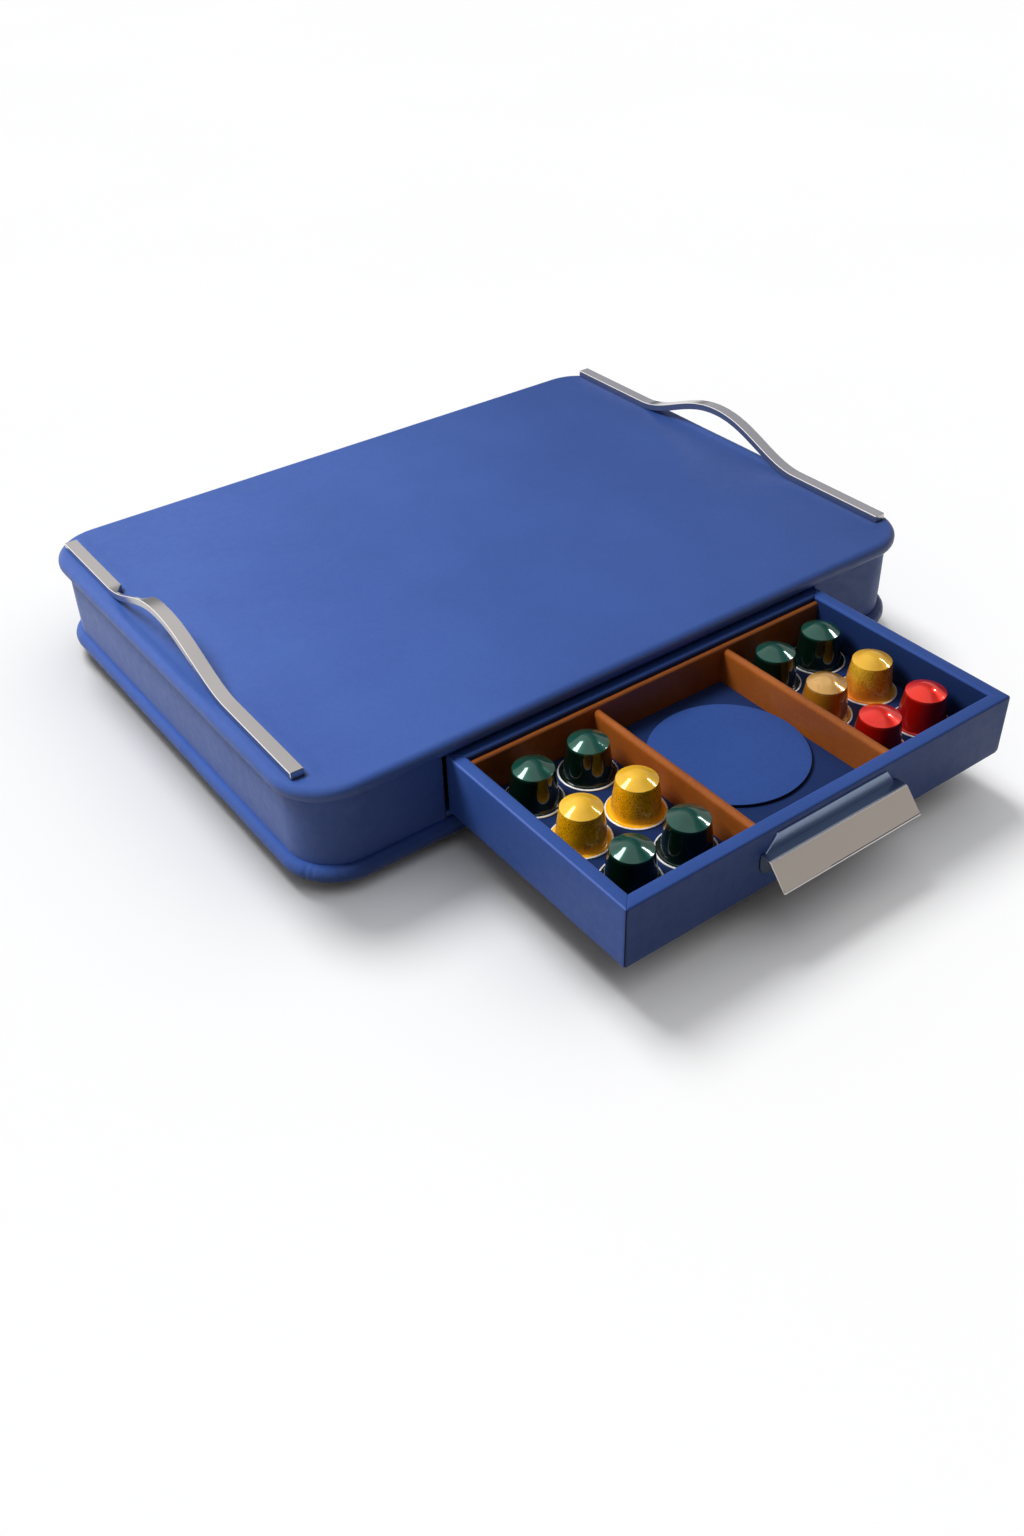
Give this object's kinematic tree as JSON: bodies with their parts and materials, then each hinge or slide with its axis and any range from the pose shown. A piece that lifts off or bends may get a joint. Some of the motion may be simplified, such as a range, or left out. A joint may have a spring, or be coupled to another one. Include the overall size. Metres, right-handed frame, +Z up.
{
  "type": "coffee pod drawer",
  "caption": "Low leather-covered case with two bar handles and a shallow divided drawer that slides out of its long side to hold coffee pods, with room for a machine on top.",
  "frame": {"origin": "on the surface it stands on, under the middle of the case", "axes": "+Z up, -Y out of the front, the way the drawer opens, +X along the front to the right as seen by someone facing it"},
  "size_m": [0.4914, 0.5472, 0.1058],
  "materials": {
    "blue_leather": "matt smooth royal blue leather with a fine grain",
    "brown_leather": "satin chestnut brown leather",
    "deep_blue_leather": "matt dark blue leather",
    "plywood": "sanded birch plywood",
    "polished_steel": "polished steel, faintly brushed",
    "zinc_steel": "bright zinc plating",
    "brass": "turned",
    "rubber": "matt black",
    "foam": "open-cell foam",
    "green_pod": "glossy dark green lacquer",
    "yellow_pod": "glossy golden yellow lacquer",
    "amber_pod": "glossy amber lacquer",
    "red_pod": "glossy red lacquer"
  },
  "bodies": {
    "case": {"non_slip_sheet": "rubber", "plinth_board": "plywood", "plinth_screws": "zinc_steel", "base_board": "plywood", "base_roll": "blue_leather", "left_wall": "plywood", "right_wall": "plywood", "back_wall": "plywood", "front_walls": "plywood", "corner_posts": "plywood", "wall_leather": "blue_leather", "partitions": "plywood", "rear_crossbar": "plywood", "rear_bumpers": "rubber", "opening_sill": "blue_leather", "top_board": "plywood", "top_padding": "foam", "top_leather": "blue_leather", "left_handle": "polished_steel", "right_handle": "polished_steel", "handle_inserts": "brass", "rail_packers": "plywood", "left_outer_rail": "zinc_steel", "right_outer_rail": "zinc_steel", "outer_rail_screws": "zinc_steel"},
    "middle_rails": {"left_middle_rail": "zinc_steel", "right_middle_rail": "zinc_steel"},
    "drawer": {"left_inner_rail": "zinc_steel", "right_inner_rail": "zinc_steel", "inner_rail_rivets": "zinc_steel", "drawer_front": "plywood", "drawer_left_side": "plywood", "drawer_right_side": "plywood", "drawer_back": "plywood", "drawer_bottom": "plywood", "front_leather": "blue_leather", "left_side_leather": "blue_leather", "right_side_leather": "blue_leather", "back_leather": "blue_leather", "left_mat": "blue_leather", "middle_mat": "blue_leather", "right_mat": "blue_leather", "back_strip": "brown_leather", "left_divider": "brown_leather", "right_divider": "brown_leather", "drawer_pull": "polished_steel", "pull_screws": "zinc_steel"},
    "loose_disc": {"disc": "deep_blue_leather"},
    "body_pod_left_1": {"pod_left_1": "green_pod"},
    "body_pod_left_2": {"pod_left_2": "green_pod"},
    "body_pod_left_3": {"pod_left_3": "yellow_pod"},
    "body_pod_left_4": {"pod_left_4": "yellow_pod"},
    "body_pod_left_5": {"pod_left_5": "green_pod"},
    "body_pod_left_6": {"pod_left_6": "green_pod"},
    "body_pod_right_1": {"pod_right_1": "green_pod"},
    "body_pod_right_2": {"pod_right_2": "green_pod"},
    "body_pod_right_3": {"pod_right_3": "yellow_pod"},
    "body_pod_right_4": {"pod_right_4": "amber_pod"},
    "body_pod_right_5": {"pod_right_5": "red_pod"},
    "body_pod_right_6": {"pod_right_6": "red_pod"}
  },
  "joints": [
    {"name": "drawer_slide", "type": "slide", "parent": "case", "child": "drawer", "axis": [0, -1, 0], "range_m": [-0.162, 0]},
    {"name": "middle_rail_slide", "type": "slide", "parent": "case", "child": "middle_rails", "axis": [0, -1, 0], "range_m": [-0.081, 0]},
    {"name": "disc_lift", "type": "slide", "parent": "drawer", "child": "loose_disc", "axis": [0, 0, 1], "range_m": [0, 0.05]},
    {"name": "pod_left_1_lift", "type": "slide", "parent": "drawer", "child": "body_pod_left_1", "axis": [0, 0, 1], "range_m": [0, 0.045]},
    {"name": "pod_left_2_lift", "type": "slide", "parent": "drawer", "child": "body_pod_left_2", "axis": [0, 0, 1], "range_m": [0, 0.045]},
    {"name": "pod_left_3_lift", "type": "slide", "parent": "drawer", "child": "body_pod_left_3", "axis": [0, 0, 1], "range_m": [0, 0.045]},
    {"name": "pod_left_4_lift", "type": "slide", "parent": "drawer", "child": "body_pod_left_4", "axis": [0, 0, 1], "range_m": [0, 0.045]},
    {"name": "pod_left_5_lift", "type": "slide", "parent": "drawer", "child": "body_pod_left_5", "axis": [0, 0, 1], "range_m": [0, 0.045]},
    {"name": "pod_left_6_lift", "type": "slide", "parent": "drawer", "child": "body_pod_left_6", "axis": [0, 0, 1], "range_m": [0, 0.045]},
    {"name": "pod_right_1_lift", "type": "slide", "parent": "drawer", "child": "body_pod_right_1", "axis": [0, 0, 1], "range_m": [0, 0.045]},
    {"name": "pod_right_2_lift", "type": "slide", "parent": "drawer", "child": "body_pod_right_2", "axis": [0, 0, 1], "range_m": [0, 0.045]},
    {"name": "pod_right_3_lift", "type": "slide", "parent": "drawer", "child": "body_pod_right_3", "axis": [0, 0, 1], "range_m": [0, 0.045]},
    {"name": "pod_right_4_lift", "type": "slide", "parent": "drawer", "child": "body_pod_right_4", "axis": [0, 0, 1], "range_m": [0, 0.045]},
    {"name": "pod_right_5_lift", "type": "slide", "parent": "drawer", "child": "body_pod_right_5", "axis": [0, 0, 1], "range_m": [0, 0.045]},
    {"name": "pod_right_6_lift", "type": "slide", "parent": "drawer", "child": "body_pod_right_6", "axis": [0, 0, 1], "range_m": [0, 0.045]}
  ],
  "couplings": [
    {"joint": "middle_rail_slide", "follows": "drawer_slide", "ratio": 0.5}
  ]
}
